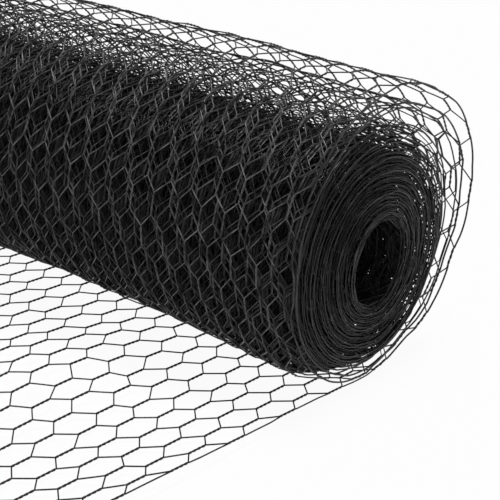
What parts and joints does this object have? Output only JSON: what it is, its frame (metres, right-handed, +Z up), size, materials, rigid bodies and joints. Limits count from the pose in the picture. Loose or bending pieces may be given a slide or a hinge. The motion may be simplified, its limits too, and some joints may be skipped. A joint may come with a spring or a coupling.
{
  "type": "roll of hexagonal wire netting",
  "caption": "Wound roll of black coated hexagonal wire netting lying on the floor, open bore, slack outer turns, and its loose end run out flat.",
  "frame": {"origin": "on the floor, under the middle of the whole length and width", "axes": "+X along the roll's axis towards the end seen in front, +Y from the laid end to the roll, +Z up"},
  "size_m": [1, 0.5362, 0.2583],
  "materials": {
    "coated_wire": "black plastic coating on steel wire, satin"
  },
  "bodies": {
    "root": {"wound_roll": "coated_wire", "loose_end": "coated_wire"}
  },
  "joints": []
}
